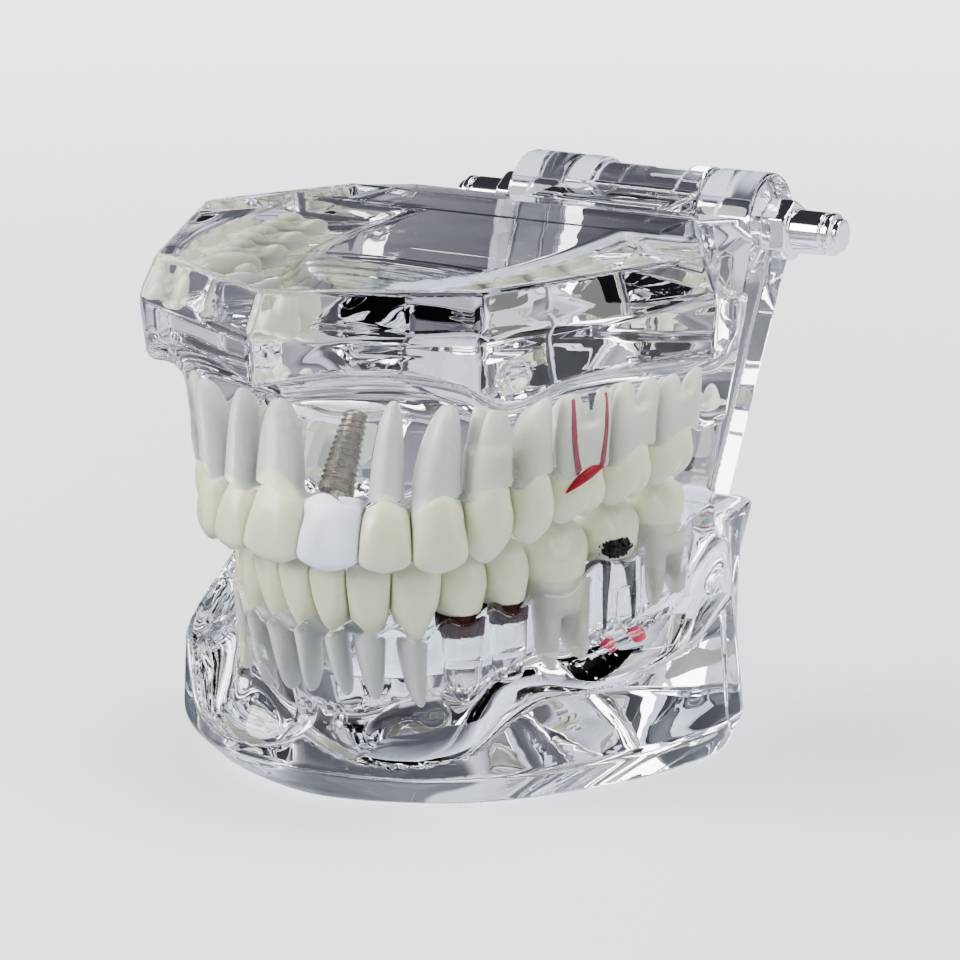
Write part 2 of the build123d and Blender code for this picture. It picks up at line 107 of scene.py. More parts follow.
def skin(field, low, high, step, reach=1.4, block=8):
    """Closed quad mesh of field = 0, with a normal for each vertex. It skips blocks far from the surface."""
    low = np.array(low, float)
    counts = np.ceil((np.array(high) - low) / (step * block)).astype(int)
    blocks = np.stack(np.meshgrid(*[np.arange(n) for n in counts], indexing="ij"), -1).reshape(-1, 3)
    far = np.abs(in_parts(field, low + (blocks + 0.5) * step * block))
    blocks = blocks[far < step * block * 0.87 * reach + 0.6]
    side = np.arange(block + 1)
    nodes = np.stack(np.meshgrid(side, side, side, indexing="ij"), -1)
    points = low + (blocks[:, None, None, None] * block + nodes) * step
    value = in_parts(field, points.reshape(-1, 3)).reshape(points.shape[:-1])
    shape = (len(blocks), block, block, block)
    total, hits = np.zeros(shape + (3,)), np.zeros(shape)
    span = counts * block + 2
    quads = []
    for axis in range(3):
        v = np.moveaxis(value, axis + 1, 1)
        near, ahead = v[:, :-1], v[:, 1:]
        cross = (near < 0) != (ahead < 0)
        share = np.where(cross, near / np.where(cross, near - ahead, 1), 0)
        others = [a for a in range(3) if a != axis]
        for da in (0, 1):
            for db in (0, 1):
                c = np.moveaxis(cross[:, :, da:da + block, db:db + block], 1, axis + 1)
                s = np.moveaxis(share[:, :, da:da + block, db:db + block], 1, axis + 1)
                total[..., axis] += np.where(c, s, 0)
                total[..., others[0]] += c * da
                total[..., others[1]] += c * db
                hits += c
        own = np.moveaxis(cross[:, :, :block, :block], 1, axis + 1)
        first = np.moveaxis(near[:, :, :block, :block] < 0, 1, axis + 1)
        b, i, j, k = np.nonzero(own)
        cell = blocks[b] * block + np.stack([i, j, k], -1)
        u, w = (axis + 1) % 3, (axis + 2) % 3
        loop = []
        for du, dw in ((-1, -1), (0, -1), (0, 0), (-1, 0)):
            c = cell.copy()
            c[:, u] += du
            c[:, w] += dw
            loop.append(c)
        loop = np.stack(loop, 1)
        flip = ~first[b, i, j, k]
        loop[flip] = loop[flip][:, ::-1]
        quads.append(loop)
    key = lambda c: ((c[..., 0] + 1) * span[1] + c[..., 1] + 1) * span[2] + c[..., 2] + 1
    b, i, j, k = np.nonzero(hits)
    cells = blocks[b] * block + np.stack([i, j, k], -1)
    verts = low + (cells + total[b, i, j, k] / hits[b, i, j, k][:, None]) * step
    keys = key(cells)
    order = np.argsort(keys)
    verts, keys = verts[order], keys[order]
    faces = np.searchsorted(keys, key(np.concatenate(quads)))
    for _ in range(3):
        g = gradient(field, verts)
        move = -field(verts)[:, None] * g / np.maximum((g * g).sum(1), 0.05)[:, None]
        far = np.linalg.norm(move, axis=1)[:, None]
        verts = verts + move * np.minimum(1, 0.5 * step / np.maximum(far, 1e-9))
    normals = gradient(field, verts, 0.08)
    normals /= np.maximum(np.linalg.norm(normals, axis=1), 1e-9)[:, None]
    return verts, faces, normals


def mesh_object(name, verts, faces, normals, body, material, slot, replaced=(), tones=None):
    """A smooth mesh piece from vertices in millimetres, riding on its body."""
    mesh = bpy.data.meshes.new(name)
    mesh.vertices.add(len(verts))
    mesh.vertices.foreach_set("co", (np.asarray(verts) * MM).astype(np.float32).ravel())
    corners = faces.shape[1]
    mesh.loops.add(faces.size)
    mesh.loops.foreach_set("vertex_index", faces.astype(np.int32).ravel())
    mesh.polygons.add(len(faces))
    mesh.polygons.foreach_set("loop_start", np.arange(0, faces.size, corners, dtype=np.int32))
    mesh.polygons.foreach_set("use_smooth", np.ones(len(faces), bool))
    mesh.update(calc_edges=True)
    mesh.validate()
    if tones is not None:
        mesh.attributes.new("tone", "FLOAT", "POINT").data.foreach_set("value", tones.astype(np.float32))
    if normals is not None:
        mesh.normals_split_custom_set_from_vertices(normals)
    mesh.materials.append(material)
    obj = bpy.data.objects.new(name, mesh)
    bpy.context.scene.collection.objects.link(obj)
    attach(obj, body)
    if replaced:
        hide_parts(*replaced)
    return obj


# ---- materials
def nodes_of(name):
    """A new node material, its tree and its Principled shader."""
    material = bpy.data.materials.new(name)
    material.use_nodes = True
    tree = material.node_tree
    return material, tree, tree.nodes["Principled BSDF"]


def add(tree, kind, inputs=None, **settings):
    node = tree.nodes.new(kind)
    for key, value in settings.items():
        setattr(node, key, value)
    for key, value in (inputs or {}).items():
        if isinstance(value, bpy.types.NodeSocket):
            tree.links.new(value, node.inputs[key])
        else:
            node.inputs[key].default_value = value
    return node


def colours(tree, factor, *stops):
    """A colour ramp through (position, (r, g, b)) stops."""
    node = add(tree, "ShaderNodeValToRGB", {"Fac": factor})
    elements = node.color_ramp.elements
    while len(elements) < len(stops):
        elements.new(0.5)
    for element, (position, rgb) in zip(elements, stops):
        element.position = position
        element.color = (*rgb, 1)
    return node.outputs["Color"]


def noise(tree, scale, detail=3.0, roughness=0.5):
    where = add(tree, "ShaderNodeTexCoord").outputs["Object"]
    return add(tree, "ShaderNodeTexNoise", {"Vector": where, "Scale": scale, "Detail": detail,
                                            "Roughness": roughness}).outputs["Fac"]


def bump(tree, bsdf, height, strength, distance):
    """Relief on the shader from a height value."""
    node = add(tree, "ShaderNodeBump", {"Height": height, "Strength": strength, "Distance": distance})
    tree.links.new(node.outputs["Normal"], bsdf.inputs["Normal"])


def acrylic(name, ior=1.49, tint=(0.985, 0.992, 1.0), grain=0.0, rough=0.0):
    """Clear plastic. Lamps shine through it, so that what is cast inside is lit."""
    material, tree, bsdf = nodes_of(name)
    bsdf.inputs["Base Color"].default_value = (*tint, 1)
    bsdf.inputs["Roughness"].default_value = rough
    bsdf.inputs["IOR"].default_value = ior
    bsdf.inputs["Transmission Weight"].default_value = 1
    bump(tree, bsdf, noise(tree, 45.0, 2.0), 0.04 + grain, 0.002)
    clear = add(tree, "ShaderNodeBsdfTransparent", {"Color": (0.93, 0.95, 0.97, 1)})
    shadow = add(tree, "ShaderNodeLightPath").outputs["Is Shadow Ray"]
    mix = add(tree, "ShaderNodeMixShader", {0: shadow, 1: bsdf.outputs[0], 2: clear.outputs[0]})
    tree.links.new(mix.outputs[0], tree.nodes["Material Output"].inputs["Surface"])
    return material


def tooth_material(name, root, crown, edge):
    """Resin tooth: whiter root, warmer crown, greyer biting edge, faint growth mottling."""
    material, tree, bsdf = nodes_of(name)
    tone = add(tree, "ShaderNodeAttribute", attribute_name="tone").outputs["Fac"]
    base = colours(tree, tone, (0.0, root), (0.48, root), (0.52, crown), (0.8, crown), (1.0, edge))
    mottle = colours(tree, noise(tree, 320.0, 4.0), (0.3, (0.94, 0.94, 0.92)), (0.7, (1.0, 1.0, 1.0)))
    tint = add(tree, "ShaderNodeMix", data_type="RGBA", blend_type="MULTIPLY")
    tint.inputs[0].default_value = 1.0
    tree.links.new(base, tint.inputs[6])
    tree.links.new(mottle, tint.inputs[7])
    tree.links.new(tint.outputs[2], bsdf.inputs["Base Color"])
    bsdf.inputs["Subsurface Weight"].default_value = 0.25
    bsdf.inputs["Subsurface Radius"].default_value = (1.0, 0.8, 0.6)
    bsdf.inputs["Subsurface Scale"].default_value = 0.0012
    bsdf.inputs["Coat Weight"].default_value = 0.25
    bsdf.inputs["Coat Roughness"].default_value = 0.15
    shine = colours(tree, noise(tree, 180.0), (0.3, (0.26,) * 3), (0.7, (0.42,) * 3))
    tree.links.new(shine, bsdf.inputs["Roughness"])
    bump(tree, bsdf, noise(tree, 700.0, 3.0), 0.12, 0.0003)
    return material


def plain(name, dark, light, metallic=0.0, rough=(0.3, 0.5), scale=300.0, grain=0.1, depth=0.0003, gloss=0.5):
    """Opaque finish that drifts between two colours and two roughnesses."""
    material, tree, bsdf = nodes_of(name)
    field = noise(tree, scale, 4.0)
    tree.links.new(colours(tree, field, (0.3, dark), (0.7, light)), bsdf.inputs["Base Color"])
    tree.links.new(colours(tree, noise(tree, scale * 0.6), (0.3, (rough[0],) * 3), (0.7, (rough[1],) * 3)),
                   bsdf.inputs["Roughness"])
    bsdf.inputs["Metallic"].default_value = metallic
    bsdf.inputs["Specular IOR Level"].default_value = gloss
    bump(tree, bsdf, field, grain, depth)
    return material


CLEAR = acrylic("acrylic_clear")
ROOT_IOR = 0.94           # against the plastic round it, low enough to show its outline
CLEAR_ROOT = acrylic("acrylic_cast_root", ior=ROOT_IOR, tint=(0.97, 0.97, 0.96), grain=0.5, rough=0.03)
TOOTH = tooth_material("tooth_resin", (0.37, 0.38, 0.36), (0.56, 0.57, 0.37), (0.53, 0.54, 0.42))
CROWN = tooth_material("ceramic_crown", (0.60, 0.57, 0.68), (0.68, 0.72, 0.80), (0.66, 0.70, 0.78))
TITANIUM = plain("titanium_blasted", (0.115, 0.10, 0.075), (0.23, 0.205, 0.165), 1.0, (0.22, 0.34), 900.0,
                 0.15)
PULP = plain("pulp_red", (0.13, 0.001, 0.006), (0.24, 0.003, 0.014), 0.0, (0.35, 0.5), 500.0, 0.3, gloss=0.12)
SPOT = plain("infection_red", (0.45, 0.012, 0.05), (0.62, 0.04, 0.10), 0.0, (0.4, 0.55), 800.0, 0.4,
             gloss=0.2)
TARTAR = plain("tartar_brown", (0.006, 0.001, 0.001), (0.040, 0.008, 0.005), 0.0, (0.4, 0.6), 900.0, 0.8,
               0.0006, 0.08)
FILLING = plain("filling_dark", (0.004, 0.004, 0.005), (0.02, 0.018, 0.017), 0.2, (0.3, 0.6), 1200.0, 0.8,
                0.0006, 0.2)
POST = plain("post_grey", (0.02, 0.02, 0.022), (0.06, 0.06, 0.065), 0.6, (0.3, 0.45), 900.0, 0.2)
CHROME = plain("chrome_plated", (0.86, 0.86, 0.88), (0.92, 0.92, 0.93), 1.0, (0.05, 0.11), 60.0, 0.02)

# ---- camera, floor, light
AZIMUTH, ELEVATION, DISTANCE, TARGET_Z = 29.5, 14.7, 0.620, 0.0344
LENS, SENSOR = 162.75, 36
a, e = math.radians(AZIMUTH), math.radians(ELEVATION)
back = Vector((math.sin(a) * math.cos(e), -math.cos(a) * math.cos(e), math.sin(e)))
camera = bpy.data.objects.new("camera", bpy.data.cameras.new("camera"))
bpy.context.scene.collection.objects.link(camera)
camera.data.lens, camera.data.sensor_width = LENS, SENSOR
camera.location = Vector((0, 0, TARGET_Z)) + back * DISTANCE
camera.rotation_mode = "QUATERNION"
camera.rotation_quaternion = (-back).to_track_quat("-Z", "Y")
bpy.context.scene.camera = camera

floor_mesh = bpy.data.meshes.new("floor")
PALE, FAR_GLOW = (0.93, 0.935, 0.94), 3.5
R, GAP = 6.0, -0.0003      # half size of the floor, and its height, just under the clear foot
TABLE_FROM, TABLE_TO = -0.2, 0.6        # stretch of X that the table's tones run over
GLOW_FROM, GLOW_TO = 0.03, 0.6          # distances over which the floor turns into a plain glow
floor_mesh.from_pydata([(-R, -R, GAP), (R, -R, GAP), (R, R, GAP), (-R, R, GAP)], [], [(0, 1, 2, 3)])
floor = bpy.data.objects.new("floor", floor_mesh)
bpy.context.scene.collection.objects.link(floor)
FLOOR = plain("floor_pale", (0.90, 0.90, 0.91), (0.92, 0.92, 0.92), 0.0, (0.6, 0.7), 3.0, 0.01)
floor_mesh.materials.append(FLOOR)
# Pale where the camera sees it, and a table from charcoal to bright where the clear plastic shows it.
tree = FLOOR.node_tree
pale = tree.nodes["Principled BSDF"]
across = add(tree, "ShaderNodeSeparateXYZ",
             {0: add(tree, "ShaderNodeTexCoord").outputs["Object"]}).outputs["X"]
across = add(tree, "ShaderNodeMapRange",
             {"Value": across, "From Min": TABLE_FROM, "From Max": TABLE_TO}).outputs[0]
dark = colours(tree, across, (0.0, (0.32, 0.32, 0.36)), (0.13, (0.05, 0.05, 0.06)),
               (0.205, (0.04, 0.04, 0.05)), (0.235, (0.62, 0.66, 0.74)), (1.0, (0.92, 0.94, 1.0)))
table = add(tree, "ShaderNodeBsdfDiffuse", {"Color": dark})
away = add(tree, "ShaderNodeVectorMath", {0: add(tree, "ShaderNodeTexCoord").outputs["Object"]},
           operation="LENGTH")
away = add(tree, "ShaderNodeMapRange", {"Value": away.outputs["Value"], "From Min": GLOW_FROM,
                                        "From Max": GLOW_TO}).outputs[0]
far = add(tree, "ShaderNodeEmission", {"Color": (*PALE, 1), "Strength": FAR_GLOW})
pale = add(tree, "ShaderNodeMixShader", {0: away, 1: pale.outputs[0], 2: far.outputs[0]})
seen = add(tree, "ShaderNodeLightPath").outputs["Is Camera Ray"]
mix = add(tree, "ShaderNodeMixShader", {0: seen, 1: table.outputs[0], 2: pale.outputs[0]})
tree.links.new(mix.outputs[0], tree.nodes["Material Output"].inputs["Surface"])
floor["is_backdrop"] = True


def softbox(name, azimuth, elevation, distance, width, height, power, aim=(0, 0, 0.035), tint=(1, 1, 1)):
    """A soft lamp at this azimuth and elevation from the object. 0 is the front, 90 the patient's left."""
    lamp = bpy.data.lights.new(name, "AREA")
    lamp.shape, lamp.size, lamp.size_y, lamp.energy, lamp.color = "RECTANGLE", width, height, power, tint
    obj = bpy.data.objects.new(name, lamp)
    bpy.context.scene.collection.objects.link(obj)
    az, el = math.radians(azimuth), math.radians(elevation)
    way = Vector((math.sin(az) * math.cos(el), -math.cos(az) * math.cos(el), math.sin(el)))
    obj.location = Vector(aim) + way * distance
    obj.rotation_mode = "QUATERNION"
    obj.rotation_quaternion = (-way).to_track_quat("-Z", "Y")
    return obj


softbox("key_left", -48, 32, 0.9, 0.8, 0.5, 21)
softbox("fill_right", 95, 25, 0.9, 0.35, 0.7, 4)
softbox("top", 150, 72, 0.9, 0.6, 0.5, 9)

world = bpy.data.worlds.new("studio")
bpy.context.scene.world = world
world.use_nodes = True
tree = world.node_tree
direction = add(tree, "ShaderNodeTexCoord").outputs["Generated"]
part = add(tree, "ShaderNodeSeparateXYZ", {0: direction}).outputs
turn = add(tree, "ShaderNodeMath", {0: part["X"], 1: part["Y"]}, operation="ARCTAN2").outputs[0]
turn = add(tree, "ShaderNodeMapRange", {"Value": turn, "From Min": -math.pi, "From Max": math.pi}).outputs[0]
DARK, DIM, BRIGHT = (0.04, 0.04, 0.05), (0.32, 0.32, 0.38), (1.15, 1.22, 1.4)
band = colours(tree, turn, (0.0, DARK), (0.035, DIM), (0.075, BRIGHT), (0.365, BRIGHT), (0.385, DARK),
               (0.455, DARK), (0.50, DIM), (0.58, BRIGHT), (0.66, BRIGHT), (0.70, DARK), (0.74, DARK),
               (0.78, BRIGHT), (0.90, BRIGHT), (0.94, DIM), (0.97, DARK), (1.0, DARK))


def blend(factor, first, second):
    """Colour that goes from the first to the second as the factor grows."""
    node = add(tree, "ShaderNodeMix", data_type="RGBA")
    for socket, value in ((0, factor), (6, first), (7, second)):
        if isinstance(value, tuple):
            node.inputs[socket].default_value = (*value, 1)
        else:
            tree.links.new(value, node.inputs[socket])
    return node.outputs[2]


black, white = (0, 0, 0), (1, 1, 1)
high_up = colours(tree, part["Z"], (0.5, black), (0.7, white))
near_horizon = colours(tree, part["Z"], (0.06, white), (0.14, black))
room = blend(near_horizon, blend(high_up, band, DARK), (0.80, 0.82, 0.95))
seen = add(tree, "ShaderNodeLightPath").outputs["Is Camera Ray"]
tree.links.new(blend(seen, room, tuple(FAR_GLOW * c for c in PALE)), tree.nodes["Background"].inputs["Color"])

# ---- arches and tooth places, in millimetres
SCALE = 1.035
# half width, depth, power, front y
UPPER_ARCH, LOWER_ARCH = (35.3, 73.0, 2.43, -50.3), (31.8, 71.2, 2.09, -47.2)
# kind, crown height, root length, crown width and depth, neck width and depth, lean in degrees, edge z
UPPER_TEETH = (
    ("incisor", 10.3, 12.0, 8.9, 7.0, 6.9, 6.0, 14, 33.9),
    ("incisor", 9.8, 11.6, 7.2, 6.2, 5.3, 5.2, 13, 33.7),
    ("canine", 10.4, 12.0, 7.7, 7.6, 6.0, 6.8, 8, 33.3),
    ("two_root", 8.8, 12.4, 7.3, 9.0, 5.6, 8.0, 0, 35.2),
    ("premolar", 8.6, 12.6, 6.6, 9.0, 5.2, 8.0, 0, 36.0),
    ("upper_molar", 6.8, 11.6, 10.0, 11.0, 8.4, 9.8, 0, 37.5),
    ("upper_molar", 7.2, 10.8, 9.4, 10.6, 8.0, 9.6, 0, 38.2),
    ("upper_molar", 6.6, 9.8, 10.0, 9.6, 8.6, 8.8, 0, 39.3))
LOWER_TEETH = (
    ("incisor", 9.7, 10.6, 5.3, 5.8, 4.0, 5.2, 14, 34.2),
    ("incisor", 10.0, 10.7, 6.2, 6.0, 4.6, 5.4, 13, 34.3),
    ("canine", 10.4, 12.1, 6.9, 7.2, 5.3, 6.6, 8, 34.3),
    ("premolar", 8.2, 13.2, 7.1, 7.6, 5.4, 6.6, -3, 34.7),
    ("premolar", 8.4, 12.4, 6.7, 8.0, 5.2, 7.0, -4, 35.5),
    ("lower_molar", 8.0, 13.2, 11.0, 10.3, 9.2, 9.0, -8, 36.9),
    ("lower_molar", 6.8, 14.0, 10.3, 10.0, 8.6, 9.0, -8, 37.6),
    ("lower_molar", 6.0, 12.0, 10.5, 9.4, 8.8, 8.4, -8, 38.6))
WIDTH_COLUMN = 3


class Arch:
    """Superellipse through the cheek faces of one row of crowns."""

    def __init__(self, half_width, depth, power, front_y, teeth):
        self.a, self.b, self.n, self.y0 = half_width, depth, power, front_y
        angle = np.linspace(0, math.pi / 2, 501)
        self.x = half_width * np.sin(angle) ** (2 / power)
        self.y = front_y + depth - depth * np.maximum(np.cos(angle), 0) ** (2 / power)
        self.run = np.concatenate([[0], np.cumsum(np.hypot(np.diff(self.x), np.diff(self.y)))])
        self.angle = angle
        self.borders = np.concatenate([[0], np.cumsum([t[WIDTH_COLUMN] * SCALE for t in teeth])])

    def station(self, run):
        """x, y and the unit tangent at this length from the midline."""
        x, y = np.interp(run, self.run, self.x), np.interp(run, self.run, self.y)
        tx, ty = (np.interp(run + 0.05, self.run, c) - np.interp(run - 0.05, self.run, c)
                  for c in (self.x, self.y))
        d = math.hypot(tx, ty)
        return x, y, tx / d, ty / d

    def measure(self, x, y):
        """Distance outside the arch, and length along it, for points with x at or right of the midline."""
        u = np.maximum(x, 1e-3) / self.a
        v = np.maximum(self.y0 + self.b - y, 1e-3) / self.b
        n = self.n
        g = (u**n + v**n) ** (1 / n)
        slope = g ** (1 - n) * np.hypot(u ** (n - 1) / self.a, v ** (n - 1) / self.b)
        along = np.interp(np.arctan2(u ** (n / 2), v ** (n / 2)), self.angle, self.run)
        return (g - 1) / slope, along

    def scallop(self, run):
        """1 between two teeth, -1 at the middle of each tooth."""
        i = np.clip(np.searchsorted(self.borders, run, "right") - 1, 0, len(self.borders) - 2)
        share = (run - self.borders[i]) / (self.borders[i + 1] - self.borders[i])
        return np.cos(2 * math.pi * np.clip(share, 0, 1))


def gum_edge(arch, upper):
    """Height of the gum edge by length along the arch, from the necks of the teeth."""
    middle = (arch.borders[1:] + arch.borders[:-1]) / 2
    return curve(*zip(middle, [places[upper, i].origin[2] for i in range(1, 9)]))


UPPER = Arch(*UPPER_ARCH, UPPER_TEETH)
LOWER = Arch(*LOWER_ARCH, LOWER_TEETH)


class Place:
    """Place of one left-side tooth: origin mid neck, z towards the crown, y towards the cheek."""

    def __init__(self, arch, position, spec, upper):
        kind, *sizes, lean, edge_z = spec
        self.kind, self.upper = kind, upper
        sizes = [SCALE * v for v in sizes]
        self.height, self.length, self.width, self.depth, self.neck_w, self.neck_d = sizes
        start = arch.borders[position - 1]
        front = kind in ("incisor", "canine")
        x, y, tx, ty = arch.station(start + self.width / 2)
        up = np.array([0, 0, -1.0 if upper else 1.0])
        normal = np.array([ty, -tx, 0])
        lean = math.radians(lean)
        self.z_dir = up * math.cos(lean) + normal * math.sin(lean)
        self.x_dir = np.array([tx, ty, 0]) * (1 if upper else -1)
        self.y_dir = np.cross(self.z_dir, self.x_dir)
        self.origin = (np.array([x, y, edge_z]) - self.y_dir * (0.41 if front else 0.5) * self.depth
                       - self.z_dir * self.height)
        self.walls = []
        for run, sign in ((start, -1), (start + self.width, 1)):
            bx, by, btx, bty = arch.station(run)
            self.walls.append((np.array([btx, bty, 0]) * sign, np.array([bx, by, 0])))
        self.mesial = -1 if upper else 1        # which way along local x the midline lies
        self.look = ROOT_LOOK.get((upper, position), BACK_LOOK)

    def world(self, p):
        p = np.asarray(p, float)
        return self.origin + p[..., :1] * self.x_dir + p[..., 1:2] * self.y_dir + p[..., 2:] * self.z_dir

    def turned(self, n):
        return n[:, :1] * self.x_dir + n[:, 1:2] * self.y_dir + n[:, 2:] * self.z_dir

    def local(self, p):
        q = p - self.origin
        return np.stack([q @ self.x_dir, q @ self.y_dir, q @ self.z_dir], -1)

    def beyond_walls(self, p_local, gap=0.06):
        """Positive past the planes shared with the neighbour teeth."""
        p = self.world(p_local)
        return np.maximum(*[(p - start) @ normal + gap for normal, start in self.walls])


def superellipse(x, y, half_x, half_y, n):
    """Rough distance to a superellipse of power n."""
    return ((np.abs(x / half_x) ** n + np.abs(y / half_y) ** n) ** (1 / n) - 1) * np.minimum(half_x, half_y)


CUSPS = {       # towards the midline, towards the cheek, share of the crown height
    "premolar": ((0.05, 0.40, 1.0), (0.05, -0.45, 0.9)),
    "two_root": ((0.05, 0.40, 1.1), (0.1, -0.45, 0.9)),
    "upper_molar": ((0.42, 0.40, 1.0), (-0.42, 0.40, 0.96), (0.36, -0.42, 1.0), (-0.46, -0.42, 0.88)),
    "lower_molar": ((0.48, 0.40, 0.98), (-0.05, 0.44, 0.97), (-0.52, 0.34, 0.9), (0.44, -0.42, 1.0),
                    (-0.42, -0.42, 0.97)),
}
# root width and length against the table, depth of the collar's middle below the neck, and the drop of its
# corners towards the biting edge
ROOT_LOOK = {(True, 1): (0.95, 1.08, 2.4, 4.2), (True, 2): (0.78, 1.2, 0.8, 4.0),
             (True, 3): (0.98, 1.07, 0.3, 3.3),
             (False, 1): (0.66, 1.0, 0.6, 1.9), (False, 2): (0.82, 1.0, 0.6, 1.9),
             (False, 3): (0.62, 0.97, 0.6, 2.2)}
BACK_LOOK = (1.0, 1.0, 0.5, 1.4)
IMPLANT_LOOK = (1.2, 1.0, -1.5, 0.4)


def collar(place, x):
    """Height of the edge of the crown over the root, by width across the tooth."""
    _, _, sink, drop = place.look
    return -sink + drop * np.minimum(np.abs(x) / (place.width / 2), 1.1) ** 2


def tooth_field(place, swell=0.0):
    """Distance field of one whole tooth in its own frame, grown all round by swell."""
    h, w, d, nw, nd = place.height, place.width, place.depth, place.neck_w, place.neck_d
    kind = place.kind
    slim, longer = place.look[:2]
    length = place.length * longer
    drift = 1.8 if kind == "canine" else 0.8          # how far a root tip turns away from the midline
    single = kind in ("incisor", "canine", "premolar")
    front = kind in ("incisor", "canine")
    if front:
        rw = nw / 2 * slim
        half_w = curve((-length, 0.66 * rw), (-0.25 * h, rw), (0, rw + 0.2), (0.12 * h, rw + 0.6),
                       (0.34 * h, 0.455 * w), (0.6 * h, 0.497 * w), (0.82 * h, 0.49 * w), (h, 0.45 * w))
        cheek = curve((-0.1 * h, nd / 2), (0, nd / 2 + 0.05), (0.1 * h, nd / 2 + 0.35), (0.32 * h, 0.55 * d),
                      (0.62 * h, 0.53 * d), (0.88 * h, 0.44 * d), (h, 0.37 * d))
        tongue = curve((-0.1 * h, -nd / 2), (0, -nd / 2), (0.08 * h, -nd / 2 - 0.15), (0.25 * h, -0.47 * d),
                       (0.6 * h, -0.2 * d), (0.85 * h, 0.08 * d), (h, 0.18 * d))
        power = curve((-0.2 * h, 2.1), (0.3 * h, 2.25), (h, 2.6))
    else:
        half_w = curve((-0.6 * length, 0.42 * nw), (-0.05 * h, nw / 2), (0.08 * h, nw / 2 + 0.15),
                       (0.5 * h, 0.5 * w), (0.75 * h, 0.47 * w), (0.95 * h, 0.39 * w), (1.15 * h, 0.30 * w))
        cheek = curve((-0.05 * h, nd / 2), (0.08 * h, nd / 2 + 0.2), (0.38 * h, 0.5 * d),
                      (0.72 * h, 0.45 * d), (1.1 * h, 0.27 * d))
        tongue = curve((-0.05 * h, -nd / 2), (0.08 * h, -nd / 2 - 0.15), (0.5 * h, -0.5 * d),
                       (0.8 * h, -0.42 * d), (1.1 * h, -0.25 * d))
        power = curve((-0.1 * h, 2.3), (0.45 * h, 2.5), (h, 2.2))
    shrink = lambda z, n=4.5: np.maximum(1 - np.clip(-z / length, 0, 1) ** n, 0) ** 0.5

    def root(x, y, z, half_x, half_y, at, tip, n=2.4):
        share = np.clip(-z / length, 0, 1) ** 1.2
        s = np.maximum(shrink(z, n), 0.03)
        cx, cy = at[0] + share * (tip[0] - at[0]), at[1] + share * (tip[1] - at[1])
        f = superellipse(x - cx, y - cy, half_x * s, half_y * s, 2.0)
        return smax(f, slab(z, -length, 0.1 * h), 0.3)

    def field(p):
        x, y, z = p[:, 0] * place.mesial, p[:, 1], p[:, 2]      # x now grows towards the midline
        s = np.maximum(shrink(z), 0.03) if single else np.ones_like(z)
        front_y, back_y = cheek(z), tongue(z)
        mid, half_y = (front_y + back_y) / 2, (front_y - back_y) / 2
        lean = -drift * np.clip(-z / length, 0, 1) ** 1.6
        f = superellipse(x - lean, y - mid, half_w(z) * s, half_y * s, power(z))
        f = f - 0.17 * ramp(z - collar(place, x), -0.2, 0.3)
        lift = np.exp(-((z / h - 0.62) / 0.3) ** 2)
        if front:
            f = f + 0.08 * lift * np.cos(2 * math.pi * x / (0.52 * w)) * ramp(y, 0, 1) - 0.05 * lift
            if kind == "incisor":
                top = h - 0.06 * (x - 0.4)**2
            else:
                top = h + 0.2 - 0.34 * np.sqrt((x - 0.35)**2 + 0.8)
            f = smax(f, (z - top) * 0.95, 1.2 if place.width > 8.5 else 2.1)
            scoop = superellipse(x, y - mid + half_y + 0.55, w * 0.3, 1.2, 2.0)
            scoop = np.maximum(scoop, np.abs(z - 0.62 * h) - 0.26 * h)
            f = smax(f, -scoop, 1.2)
        else:
            top = None
            for mx, cy, share in CUSPS[kind]:
                cone = h * share + 0.95 - 0.74 * np.sqrt((x - mx * w / 2)**2 + (y - cy * d / 2)**2 + 0.4)
                top = cone if top is None else smax(top, cone, 0.6)
            if kind in ("upper_molar", "lower_molar"):
                for g in ((-0.02,) if kind == "upper_molar" else (0.26, -0.34)):
                    groove = 0.3 * np.exp(-((x - g * w / 2) / 0.9) ** 2)
                    f = f + groove * ramp(z, 0.3 * h, 0.75 * h) * ramp(y, 0, 2)
                f = f + 0.3 * np.exp(-(x / 0.9) ** 2) * ramp(z, 0.3 * h, 0.7 * h) * ramp(-y, 0, 2)
            else:
                f = f - 0.12 * np.exp(-(x / (0.25 * w)) ** 2) * lift
            f = smax(f, (z - top) * 0.8, 1.0)
        if kind == "two_root":
            f = smax(f, -z - 0.45 * length, 1.2)
            for side in (-1, 1):
                f = smin(f, root(x, y, z, nw * 0.44, nd * 0.25, (0, side * 0.22 * nd),
                                 (-0.6, side * 0.32 * nd)), 1.0)
        elif kind == "lower_molar":
            f = smax(f, -z - 0.36 * length, 1.2)
            for side in (-1, 1):
                f = smin(f, root(x, y, z, nw * 0.265, nd * 0.42, (side * 0.245 * nw, 0),
                                 (side * 0.30 * nw - 0.7, 0), 1.7), 0.7)
        elif kind == "upper_molar":
            f = smax(f, -z - 0.58 * length, 1.0)
            for side in (-1, 1):
                f = smin(f, root(x, y, z, nw * 0.27, nd * 0.24, (side * 0.25 * nw, 0.2 * nd),
                                 (side * 0.31 * nw - 0.3, 0.22 * nd), 4.0), 0.7)
            f = smin(f, root(x, y, z, nw * 0.36, nd * 0.22, (0, -0.25 * nd), (0, -0.36 * nd), 3.0), 1.0)
        else:
            f = smax(f, -z - length, 0.4)
        return smax(f - swell, place.beyond_walls(p), 0.35)

    return field


def tooth_box(place):
    r = max(place.width, place.depth) / 2 + 1.6
    return (-r, -r, -place.length * place.look[1] - 1), (r, r, place.height + 2)


BACK_ROOT_TONE = 0.4955         # roots at the back nearly match their crowns


